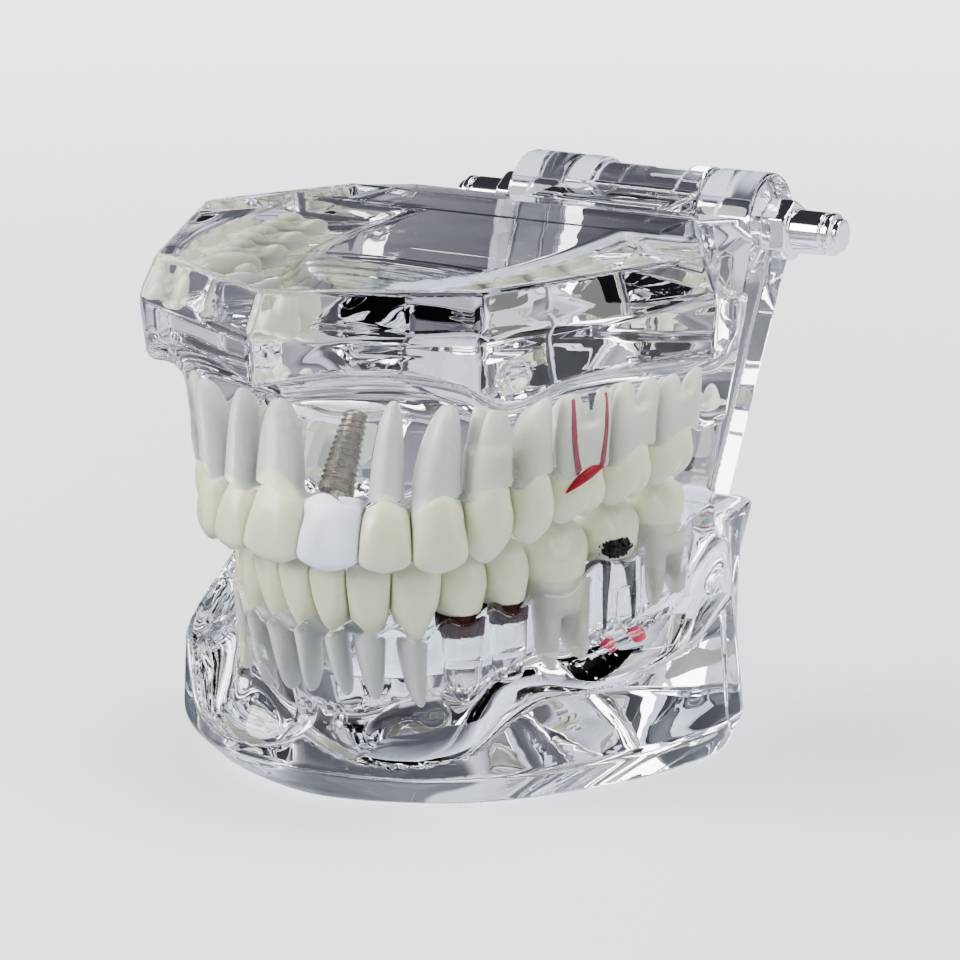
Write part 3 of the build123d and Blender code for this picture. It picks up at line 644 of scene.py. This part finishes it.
def tone_of(place, x, z):
    """0 to 0.5 along the root, 0.5 to 1 from the collar to the biting edge."""
    edge = collar(place, x)
    above = 0.5 + 0.5 * (z - edge) / (place.height - edge)
    if place.look is BACK_LOOK:
        below = BACK_ROOT_TONE
    else:
        below = 0.5 + 0.5 * (z - edge) / place.length
    return np.where(z < edge, below, above)


def tooth_piece(name, place, shape, material, slot, nodes, left=True):
    verts, faces, normals = shape
    tones = tone_of(place, verts[:, 0], verts[:, 2])
    verts, normals = place.world(verts), place.turned(normals)
    if not left:
        verts, normals, faces = verts * (-1, 1, 1), normals * (-1, 1, 1), faces[:, ::-1]
    body = "upper_jaw" if place.upper else "lower_jaw"
    return mesh_object(name, verts, faces, normals, body, material, slot, nodes, tones)


TOOTH_STEP = 0.32
places, shapes = {}, {}
for upper, arch, table in ((True, UPPER, UPPER_TEETH), (False, LOWER, LOWER_TEETH)):
    for position, spec in enumerate(table, 1):
        place = Place(arch, position, spec, upper)
        places[upper, position] = place
        shape = skin(tooth_field(place), *tooth_box(place), TOOTH_STEP, reach=2.5)
        shapes[upper, position] = shape
        for left in (True, False):
            quadrant = (2 if left else 1) if upper else (3 if left else 4)
            name = f"tooth_{quadrant}{position}"
            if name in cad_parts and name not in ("tooth_34", "tooth_35", "tooth_37", "tooth_26"):
                tooth_piece(f"crown_{quadrant}{position}", place, shape, TOOTH, "tooth", [name], left)

# ---- positions with a treatment ----
def cut_piece(name, place, extra, material, slot, nodes, swell=0.0, step=TOOTH_STEP):
    """Part of a tooth: its field kept where extra is negative."""
    base = tooth_field(place, swell=swell)
    shape = skin(lambda p: smax(base(p), extra(p), 0.3), *tooth_box(place), step, reach=2.5)
    return tooth_piece(name, place, shape, material, slot, nodes)


def ripple(p, size=1.0, depth=0.2):
    """Lumpy offset for cast or crusted surfaces."""
    q = p / size
    x, y, z = q[:, 0], q[:, 1], q[:, 2]
    return depth * (np.sin(x * 3.1 + 1.3 * np.sin(y * 2.3)) * np.sin(y * 2.7 + 1.1 * np.sin(z * 3.3))
                    * np.sin(z * 2.9 + 1.7 * np.sin(x * 1.9)))


place = places[True, 1]
place.look = IMPLANT_LOOK
cut_piece("implant_crown", place, lambda p: 0.2 - p[:, 2], CROWN, "ceramic", ["implant_crown_21"])
IMPLANT_TIP = (1.3, -1.8, -12.5)


def threaded(name, start, end, top_r, tip_r, pitch, depth, body, material, slot, nodes, sides=56, rows=320):
    """Tapered screw with a helical thread, from its head to its rounded tip."""
    start, end = np.array(start, float), np.array(end, float)
    length = np.linalg.norm(end - start)
    way = (end - start) / length
    side = np.cross(way, (0.2, 1, 0.1))
    side /= np.linalg.norm(side)
    other = np.cross(way, side)
    s, turn = np.meshgrid(np.linspace(0, 1, rows), np.arange(sides) / sides, indexing="ij")
    phase = (s * length / pitch - turn) % 1
    inside = ramp(s, 0.07, 0.11) * ramp(1 - s, 0.02, 0.12)
    r = top_r + (tip_r - top_r) * s**1.15 - depth * inside * ramp(0.5 - np.abs(phase - 0.5), 0.1, 0.32)
    r = r * np.sqrt(np.clip(1 - ((s - 0.93) / 0.07).clip(0, 1) ** 2.2, 0.003, 1))
    r = r * np.sqrt(np.clip(s / 0.006, 0.02, 1))
    a = 2 * math.pi * turn
    along, across, upwards = (v[..., None] for v in (s * length, r * np.cos(a), r * np.sin(a)))
    verts = start + along * way + across * side + upwards * other
    i, j = np.meshgrid(np.arange(rows - 1), np.arange(sides), indexing="ij")
    k = (j + 1) % sides
    faces = np.stack([i * sides + j, i * sides + k, (i + 1) * sides + k, (i + 1) * sides + j], -1)
    faces = faces.reshape(-1, 4)
    return mesh_object(name, verts.reshape(-1, 3), faces, None, body, material, slot, nodes)


threaded("implant_screw", place.world((0, 0, -0.6)), place.world(IMPLANT_TIP), 2.35, 1.35, 0.85, 0.2,
         "upper_jaw", TITANIUM, "titanium", ["implant_fixture_21"])
place = places[True, 6]
tooth_piece("crown_26", place, shapes[True, 6], TOOTH, "tooth", ["tooth_26"])
for number, position in (("34", 4), ("35", 5)):
    place = places[False, position]
    low = -3.0 if number == "34" else -2.5
    cut_piece(f"crown_{number}", place, lambda p: -0.4 - p[:, 2], TOOTH, "tooth", [f"tooth_{number}"])
    cut_piece(f"tartar_band_{number}", place,
              lambda p: (np.maximum(low - p[:, 2] + 0.3 * np.sin(3 * p[:, 0]), p[:, 2] + 0.2)
                         + ripple(p, 0.7, 0.3)),
              TARTAR, "tartar", [f"tartar_{number}"], swell=0.15, step=TOOTH_STEP * 0.7)
    cut_piece(f"clear_root_{number}", place, lambda p: p[:, 2] - low + 0.1 + ripple(p, 0.9, 0.1), CLEAR_ROOT,
              "acrylic", [f"root_{number}"])
place = places[False, 7]
cut_piece("crown_37", place, lambda p: -1.2 - p[:, 2], TOOTH, "tooth", ["tooth_37"])
cut_piece("clear_roots_37", place, lambda p: p[:, 2] + 1.3, CLEAR_ROOT, "acrylic", [])


def tube(name, points, radii, body, material, slot, nodes, sides=20, per=10):
    """Smooth round rod through points in millimetres, closed and rounded at both ends."""
    points, radii = np.array(points, float), np.array(radii, float)
    t = np.linspace(0, 1, len(points))
    path = np.stack([curve(*zip(t, points[:, i]))(np.linspace(0, 1, per * len(points))) for i in range(3)],
                    -1)
    radius = curve(*zip(t, radii))(np.linspace(0, 1, per * len(points)))
    ahead = np.gradient(path, axis=0)
    ahead /= np.linalg.norm(ahead, axis=1)[:, None]
    ends = np.linspace(0, math.pi / 2, 6)[:-1]
    caps0 = [(path[0] - ahead[0] * radius[0] * math.cos(e), ahead[0], radius[0] * math.sin(e)) for e in ends]
    caps1 = [(path[-1] + ahead[-1] * radius[-1] * math.cos(e), ahead[-1], radius[-1] * math.sin(e))
             for e in ends[::-1]]
    rows = caps0 + list(zip(path, ahead, radius)) + caps1
    around = np.arange(sides) * 2 * math.pi / sides
    verts = []
    for centre, way, r in rows:
        side = np.cross(way, (0.3, 1, 0.2))
        side /= np.linalg.norm(side)
        other = np.cross(way, side)
        ring = np.outer(np.cos(around), side) + np.outer(np.sin(around), other)
        verts.append(centre + max(r, 0.01) * ring)
    verts = np.concatenate(verts)
    faces = []
    for i in range(len(rows) - 1):
        for j in range(sides):
            k = (j + 1) % sides
            faces.append((i * sides + j, i * sides + k, (i + 1) * sides + k, (i + 1) * sides + j))
    return mesh_object(name, verts, np.array(faces), None, body, material, slot, nodes)


place = places[True, 6]
for name, x, nodes in (("front", -2.5, ["pulp_26"]), ("rear", 2.7, [])):
    line = [place.world(p) for p in ((x * 1.12, 3.5, -10.6), (x * 1.14, 4.2, -7.5), (x * 1.06, 4.6, -4),
                                     (x * 0.8, 5.0, -0.4))]
    tube(f"pulp_canal_{name}", line, (0.34, 0.42, 0.44, 0.5), "upper_jaw", PULP, "red_resin", nodes)
tube("pulp_bar", [place.world(p) for p in ((-3.9, 5.0, 2.2), (-2.3, 5.35, 1.1), (-0.3, 5.4, 0.2),
                                           (2.3, 5.2, -0.5))],
     (0.12, 0.55, 0.72, 0.5), "upper_jaw", PULP, "red_resin", [])
threaded("small_screw", place.world((0, 4.6, -11.4)), place.world((0, 4.4, -8.8)), 0.75, 0.3, 0.5, 0.14,
         "upper_jaw", POST, "titanium", ["screw_post_26"])
place = places[False, 7]
for name, x in (("mesial", 2.1), ("distal", -2.1)):
    line = [place.world(p) for p in ((x, 1.8, 0.9), (x * 1.05, 1.8, -2.5), (x * 1.2, 1.4, -6),
                                     (x * 1.3, 1.0, -10.4))]
    tube(f"post_{name}", line, (0.85, 0.8, 0.62, 0.4), "lower_jaw", POST, "titanium",
         [f"canal_post_{name}_37"])
    centre = np.array(place.world((x * 1.31, 1.6, -13.6)))
    blob = lambda p: np.linalg.norm((p - centre) * (1, 1, 1.1), axis=1) - 1.3 + ripple(p, 0.9, 0.16)
    mesh_object(f"red_spot_{name}", *skin(blob, centre - 2.0, centre + 2.0, 0.16, reach=2), "lower_jaw", SPOT,
                "red_resin", [f"apex_spot_{name}_37"])
centre = np.array(place.world((1.3, 4.0, 0.7)))
blob = lambda p: ((np.linalg.norm((place.local(p) - place.local(centre)) / (2.5, 1.9, 1.5), axis=1) - 1) * 1.2
                  + ripple(p, 0.55, 0.32))
mesh_object("dark_filling", *skin(blob, centre - 3, centre + 3, 0.18, reach=2.5), "lower_jaw", FILLING,
            "filling", ["filling_37"])

# ---- clear bases
def slope(a, b, c, inside=(0, -10, 65)):
    """Plane through three points, positive on the side away from the inside."""
    a, b, c = (np.array(v, float) for v in (a, b, c))
    n = np.cross(b - a, c - a)
    n /= np.linalg.norm(n)
    n = -n if n @ (np.array(inside) - a) > 0 else n
    return n, n @ a


TOP_Z, CREASE_Z, SKIRT_Z = 73.0, 67.4, 59.4
TOP_OUTLINE = ((0.0, -58.0), (24.8, -44.2), (40.2, -9.2), (28.6, 10.2), (25.6, 28.0))
CREASE_OUTLINE = ((0.0, -61.2), (26.6, -46.8), (42.2, -9.2), (29.6, 13.4), (28.4, 30.0))
SKIRT_OUTLINE = ((0.0, -60.0), (26.0, -46.0), (41.8, -8.4), (29.2, 13.0), (27.6, 27.6))
facets = []
for i in range(4):
    a, b = (*CREASE_OUTLINE[i], CREASE_Z), (*CREASE_OUTLINE[i + 1], CREASE_Z)
    for outline, z in ((TOP_OUTLINE, TOP_Z), (SKIRT_OUTLINE, SKIRT_Z)):
        c = tuple((np.array(outline[i]) + outline[i + 1]) / 2) + (z,)
        facets.append((i, slope(a, b, c)))
HEEL_SLOPE = slope((0, 10.4, TOP_Z), (10, 10.4, TOP_Z), (0, 30, 69.9))
HEEL_BACK = (slope((0, 30, CREASE_Z), (10, 30, CREASE_Z), (0, 27.6, SKIRT_Z)),
             slope((0, 30, CREASE_Z), (10, 30, CREASE_Z), (0, 27.0, TOP_Z)))
EDGE = 0.7
HINGE_Y, HINGE_Z, KNUCKLE_R, BAR_R = 51.9, 64.0, 8.2, 7.4
TONGUE_TOP_Z, TONGUE_FOOT_Z, TONGUE_Y = 69.2, (60.8, 57.2), 24.0      # the foot falls backwards
# lower edge of the upper block, by the angle round it from the front, in degrees
skirt_edge = curve((0, 60.3), (5.5, 61.2), (11, 61.9), (21, 62.3), (29, 61.3), (34, 60), (39.5, 57.6),
                   (46, 57.5), (53, 59), (68, 59.5), (84, 58.7), (94, 58.1), (110, 58.4), (130, 59),
                   (180, 59.2))
NECK_UP, NECK_LOW, PALATE_Z, FLOOR_Z = 45.0, 27.0, 56.5, 16.0
upper_edge, lower_edge = gum_edge(UPPER, True), gum_edge(LOWER, False)


def eminences(q, upper, k, thick):
    """Bulges of the gum over the roots."""
    out = None
    for position in range(1, 9):
        place = places[upper, position]
        a = place.origin
        b = place.origin - place.z_dir * place.length * 0.8 + place.y_dir * (-0.6)
        r0, r1 = place.neck_d / 2 + thick, place.neck_d * 0.30 + thick
        way = b - a
        t = np.clip((q - a) @ way / (way @ way), -0.1, 1)
        f = np.linalg.norm(q - a - t[:, None] * way, axis=1) - (r0 + (r1 - r0) * np.clip(t, 0, 1))
        out = f if out is None else smin(out, f, k)
    return out


def dimple(f, q, centre, radii):
    """Presses a small oval hollow into a field."""
    d = (q - np.array(centre)) / np.array(radii)
    return smax(f, (1 - np.sqrt((d * d).sum(-1))) * min(radii), 0.4)


def upper_field(p):
    """Upper clear base: faceted block and heel, gum ridge, hinge tongue and knuckles."""
    x, y, z = np.abs(p[:, 0]), p[:, 1], p[:, 2]
    q = np.stack([x, y, z], -1)
    m = np.stack([-x, y, z], -1)
    front, heel = z - TOP_Z, z - TOP_Z
    for i, (n, d) in facets:
        if i < 3:
            front = smax(front, q @ n - d, EDGE)
            if i == 0:
                front = smax(front, m @ n - d, EDGE)
        else:
            heel = smax(heel, q @ n - d, EDGE)
    front = smax(front, y - 12.0, EDGE)
    heel = smax(heel, q @ HEEL_SLOPE[0] - HEEL_SLOPE[1], EDGE)
    for n, d in HEEL_BACK:
        heel = smax(heel, q @ n - d, EDGE)
    heel = np.maximum(heel, -y)
    block = smin(front, heel, 0.4)
    away, run = UPPER.measure(x, y)
    angle = np.degrees(np.arctan2(x, -(y + 10)))
    inner = ramp(-away, 3, 9)
    rugae = 0.35 * np.sin(y * 1.5 + 0.02 * x * x) * ramp(-y, 18, 28)
    under = (1 - inner) * skirt_edge(angle) + inner * (PALATE_Z + rugae)
    block = smax(block, under - z, 0.9)
    rise = (z - NECK_UP) / (SKIRT_Z - NECK_UP)
    gum = away - (0.35 + 1.6 * np.clip(rise, 0, 1.3))
    gum = smin(gum, eminences(q, True, 1.4, 1.15), 1.6)
    gum = smax(gum, -(away + 13.0 + 4.5 * np.clip(rise, 0, 1)), 2.0)
    gum = smax(gum, upper_edge(run) + 0.1 - 0.8 * UPPER.scallop(run) - z, 1.1)
    gum = smax(gum, z - 64, 0.5)
    gum = smax(gum, y - 8.5 - 2 * rise, 2.5)
    body = smin(block, gum, 4.2)
    body = dimple(body, q, (29.2, -41.6, 61.2), (2.8, 2.8, 2.1))
    tongue = np.maximum(slab(x, -1, 11.2), slab(y, 20, HINGE_Y))
    t = (y - TONGUE_Y) / (HINGE_Y - TONGUE_Y)
    tongue = smax(tongue, z - TONGUE_TOP_Z, EDGE)
    tongue = smax(tongue, TONGUE_FOOT_Z[0] + (TONGUE_FOOT_Z[1] - TONGUE_FOOT_Z[0]) * t - z, EDGE)
    body = smin(body, tongue, 0.8)
    r = np.hypot(y - HINGE_Y, z - HINGE_Z)
    bar = smax(r - BAR_R, x - 7.2, 0.4)
    knuckle = smax(r - KNUCKLE_R, slab(x, 7.0, 11.2), 0.7)
    return smin(body, smin(bar, knuckle, 0.3), 0.5)


FOOT_OUTLINE = ((0.0, -44.4), (15.9, -39.3), (25.9, -30.6), (34.4, -17.0), (38.4, -4.0), (38.4, 3.0),
                (28.0, 17.5), (27.0, 24.0))
LEDGE_OUTLINE = ((0.0, -48.4), (14.4, -46.2), (25.2, -38.2), (33.8, -25.4), (39.8, -8.6), (41.0, 3.2),
                 (29.6, 20.4), (28.4, 26.8))
SIDE_OUTLINE = ((0.0, -47.6), (14.0, -45.6), (24.6, -37.8), (32.4, -25.6), (37.6, -9.4), (38.8, 2.4),
                (29.0, 21.8), (27.8, 33.4))
LEDGE_Z, SIDE_Z, CENTRE_Y = 5.0, 28.0, -8.0
TURN = np.radians(np.arange(0, 180.25, 0.25))


def polar(outline):
    """Radius of a closed outline round the block's centre, by angle from the front."""
    half = np.array(outline)
    mirror = half[1:] * (-1, 1)
    points = np.concatenate([mirror[::-1], half])
    dense = []
    for i in range(len(points) - 1):
        a, b = points[i], points[i + 1]
        x_far = max(abs(a[0]), abs(b[0]))
        smooth = i >= 2 and i + 3 < len(points) and min(a[1], b[1]) < 2.5 and max(a[1], b[1]) < 3.5
        before, after = (points[i - 1], points[i + 2]) if smooth else (a, b)
        if smooth and max(b[1], a[1]) > 2:
            before, after = (points[i - 1], b) if b[1] > a[1] else (a, points[i + 2])
        for s in np.linspace(0, 1, 30, endpoint=False):
            dense.append(0.5 * (2 * a + (b - before) * s + (2 * before - 5 * a + 4 * b - after) * s**2
                                + (3 * a - before - 3 * b + after) * s**3) if smooth else a + (b - a) * s)
    back = np.linspace(points[-1], points[0], 60)
    dense = np.concatenate([np.array(dense), back])
    angle = np.arctan2(dense[:, 0], CENTRE_Y - dense[:, 1])
    radius = np.hypot(dense[:, 0], dense[:, 1] - CENTRE_Y)
    order = np.argsort(angle)
    full = np.interp(TURN, angle[order], radius[order])
    wrapped = np.concatenate([full[1:25][::-1], full, full[-25:-1][::-1]])
    window = np.exp(-0.5 * (np.arange(-12, 13) / 4.0) ** 2)
    return np.convolve(wrapped, window / window.sum(), "same")[24:-24]


FOOT_R, LEDGE_R, SIDE_R = polar(FOOT_OUTLINE), polar(LEDGE_OUTLINE), polar(SIDE_OUTLINE)
# height of the outer rim and of the gum's foot, and how deep the hollow between them is, by angle in degrees
rim_height = curve((0, 10.4), (3.5, 9.3), (10, 8.0), (17, 7.7), (26, 8.2), (33, 9.4), (40.5, 13.2),
                   (47.5, 15.7), (58, 16.0), (68.5, 16.3), (81, 17.6), (89, 18.6), (99, 21.8), (112, 24.5),
                   (130, 27), (180, 27))
gum_foot = curve((0, 14.4), (12, 13.2), (23, 13.4), (35, 13.8), (44.5, 16), (50.5, 17), (63, 16.8),
                 (76, 17.5), (87, 18.7), (104, 21.5), (130, 26), (180, 27))
hollow = curve((0, 0.2), (6, 1.8), (18, 2.6), (33, 2.0), (43, 0.3), (50, 1.2), (62, 2.4), (80, 2.6),
               (95, 2.0), (110, 0.5), (180, 0.0))
ARM_IN, ARM_OUT, RISE, BACK_LEAN = 11.55, 20.5, 0.868, 0.496


def polygon(y, z, points):
    """Signed distance to a closed polygon in the side view."""
    best, inside = None, np.zeros(len(y), bool)
    for (ay, az), (by, bz) in zip(points, points[1:] + points[:1]):
        ey, ez = by - ay, bz - az
        t = np.clip(((y - ay) * ey + (z - az) * ez) / (ey * ey + ez * ez), 0, 1)
        dist = np.hypot(y - ay - t * ey, z - az - t * ez)
        best = dist if best is None else np.minimum(best, dist)
        if ez:
            crosses = ((az > z) != (bz > z)) & (y < ay + (z - az) * ey / ez)
            inside ^= crosses
    return np.where(inside, -best, best)


BACK_TOUCH = (HINGE_Y + KNUCKLE_R * RISE, HINGE_Z - KNUCKLE_R * BACK_LEAN)
FOOT_Y = BACK_TOUCH[0] - BACK_TOUCH[1] * BACK_LEAN / RISE
ARM_PROFILE = [(12.0, 6.0), (FOOT_Y, 0.0), BACK_TOUCH, (HINGE_Y, HINGE_Z),
               (HINGE_Y - KNUCKLE_R * 0.94, HINGE_Z - KNUCKLE_R * 0.34), (33.0, 30.0), (28.0, 20.0)]
WEB_PROFILE = [(12.0, 3.0), (FOOT_Y, 0.0), (FOOT_Y + 24 * BACK_LEAN / RISE, 24.0), (24.0, 24.0)]


def lower_field(p):
    """Lower clear base: rounded block, gum ridge, hinge arms and the web between them."""
    x, y, z = np.abs(p[:, 0]), p[:, 1], p[:, 2]
    q = np.stack([x, y, z], -1)
    angle = np.arctan2(x, CENTRE_Y - y)
    rho = np.hypot(x, y - CENTRE_Y)
    foot, ledge, side = (np.interp(angle, TURN, r) for r in (FOOT_R, LEDGE_R, SIDE_R))
    bend = np.interp(angle, TURN, 1 / np.sqrt(1 + (np.gradient(LEDGE_R, TURN) / LEDGE_R) ** 2))
    low_r = foot + (ledge - foot) * z / LEDGE_Z
    high_r = ledge + (side - ledge) * (z - LEDGE_Z) / (SIDE_Z - LEDGE_Z)
    wall = (rho - high_r) * bend
    block = smax((rho - low_r) * bend * 0.8, wall, 0.5)
    block = smax(block, -z, 0.4)
    degrees = np.degrees(angle)
    away, run = LOWER.measure(x, y)
    inward = np.clip(-wall / 7.0, 0, 1)
    shelf = (rim_height(degrees) + (gum_foot(degrees) - rim_height(degrees)) * ramp(inward, 0.15, 1)
             - hollow(degrees) * np.sin(math.pi * inward))
    tongue_side = ramp(-away, 9, 13) * ramp(22 - y, 0, 2)
    shelf = shelf * (1 - tongue_side) + FLOOR_Z * tongue_side
    block = smax(block, z - shelf, 1.2)
    fall = np.clip((NECK_LOW - z) / 14.6, -0.3, 1.2)
    ahead = 1 - ramp(run, 8, 34)
    gum = away - (0.5 - (0.2 + 3.3 * ahead) * fall)
    gum = smin(gum, eminences(q, False, 1.4, 0.95), 1.6)
    gum = smax(gum, -(away + 11.9 + 2.6 * np.clip(fall, 0, 1)), 2.0)
    gum = smax(gum, z - lower_edge(run) + 0.1 - 0.8 * LOWER.scallop(run), 1.1)
    gum = smax(gum, 3 - z, 0.5)
    gum = smax(gum, y - 13, 2.5)
    body = smin(block, gum, 2.8)
    body = dimple(body, q, (2.6, -45.2, 11.8), (1.9, 1.7, 1.9))
    arm = smax(polygon(y, z, ARM_PROFILE), slab(x, ARM_IN, ARM_OUT), 0.7)
    r = np.hypot(y - HINGE_Y, z - HINGE_Z)
    knuckle = smax(r - KNUCKLE_R, slab(x, ARM_IN, ARM_OUT), 0.7)
    arm = smin(arm, knuckle, 0.4)
    web = smax(polygon(y, z, WEB_PROFILE), x - ARM_IN - 1, 0.7)
    return smin(body, smin(arm, web, 0.6), 1.0)


BASE_STEP = 0.6
mesh_object("clear_upper_base", *skin(upper_field, (-44, -63, 43), (44, 62, 75), BASE_STEP), "upper_jaw",
            CLEAR, "acrylic", ["upper_base"])
mesh_object("clear_lower_base", *skin(lower_field, (-44, -52, -1), (44, 62, 74), BASE_STEP), "lower_jaw",
            CLEAR, "acrylic", ["lower_base"])

def nut_field(p):
    """Long cap nut along x: hexagon against the arm, grooved cap, domed tip."""
    x, y, z = p[:, 0], p[:, 1] - HINGE_Y, p[:, 2] - HINGE_Z
    r = np.hypot(y, z)
    flats = None
    for i in range(6):
        a = math.radians(60 * i)
        f = y * math.cos(a) + z * math.sin(a) - 4.0
        flats = f if flats is None else smax(flats, f, 0.25)
    hexagon = smax(smax(flats, slab(x, 20.52, 24.6), 0.2), (r + 0.7 * (x - 24.6) - 4.25) * 0.8, 0.2)
    cap = smax(r - 3.2, slab(x, 24, 31.3), 0.5)
    cap = smax(cap, -smax(np.abs(x - 29.9) - 0.3, 2.9 - r, 0.1), 0.15)
    tip = smax(r - 2.45, slab(x, 30, 32.4), 0.5)
    return smin(smin(hexagon, cap, 0.15), tip, 0.25)


nut = skin(nut_field, (19.9, 46.5, 58.6), (33.2, 57.4, 69.4), 0.28, reach=1.6)
mesh_object("cap_nut_long_left", *nut, "lower_jaw", CHROME, "chrome", ["cap_nut_left"])
mesh_object("cap_nut_long_right", nut[0] * (-1, 1, 1), nut[1][:, ::-1], nut[2] * (-1, 1, 1), "lower_jaw",
            CHROME, "chrome", ["cap_nut_right"])

# ---- carried-over CAD nodes
for name, material in (("implant_abutment_21", TITANIUM), ("hinge_pin", CHROME)):
    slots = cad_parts[name].data.materials
    if not slots:
        slots.append(material)
    for i in range(len(slots)):
        slots[i] = material

low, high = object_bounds()
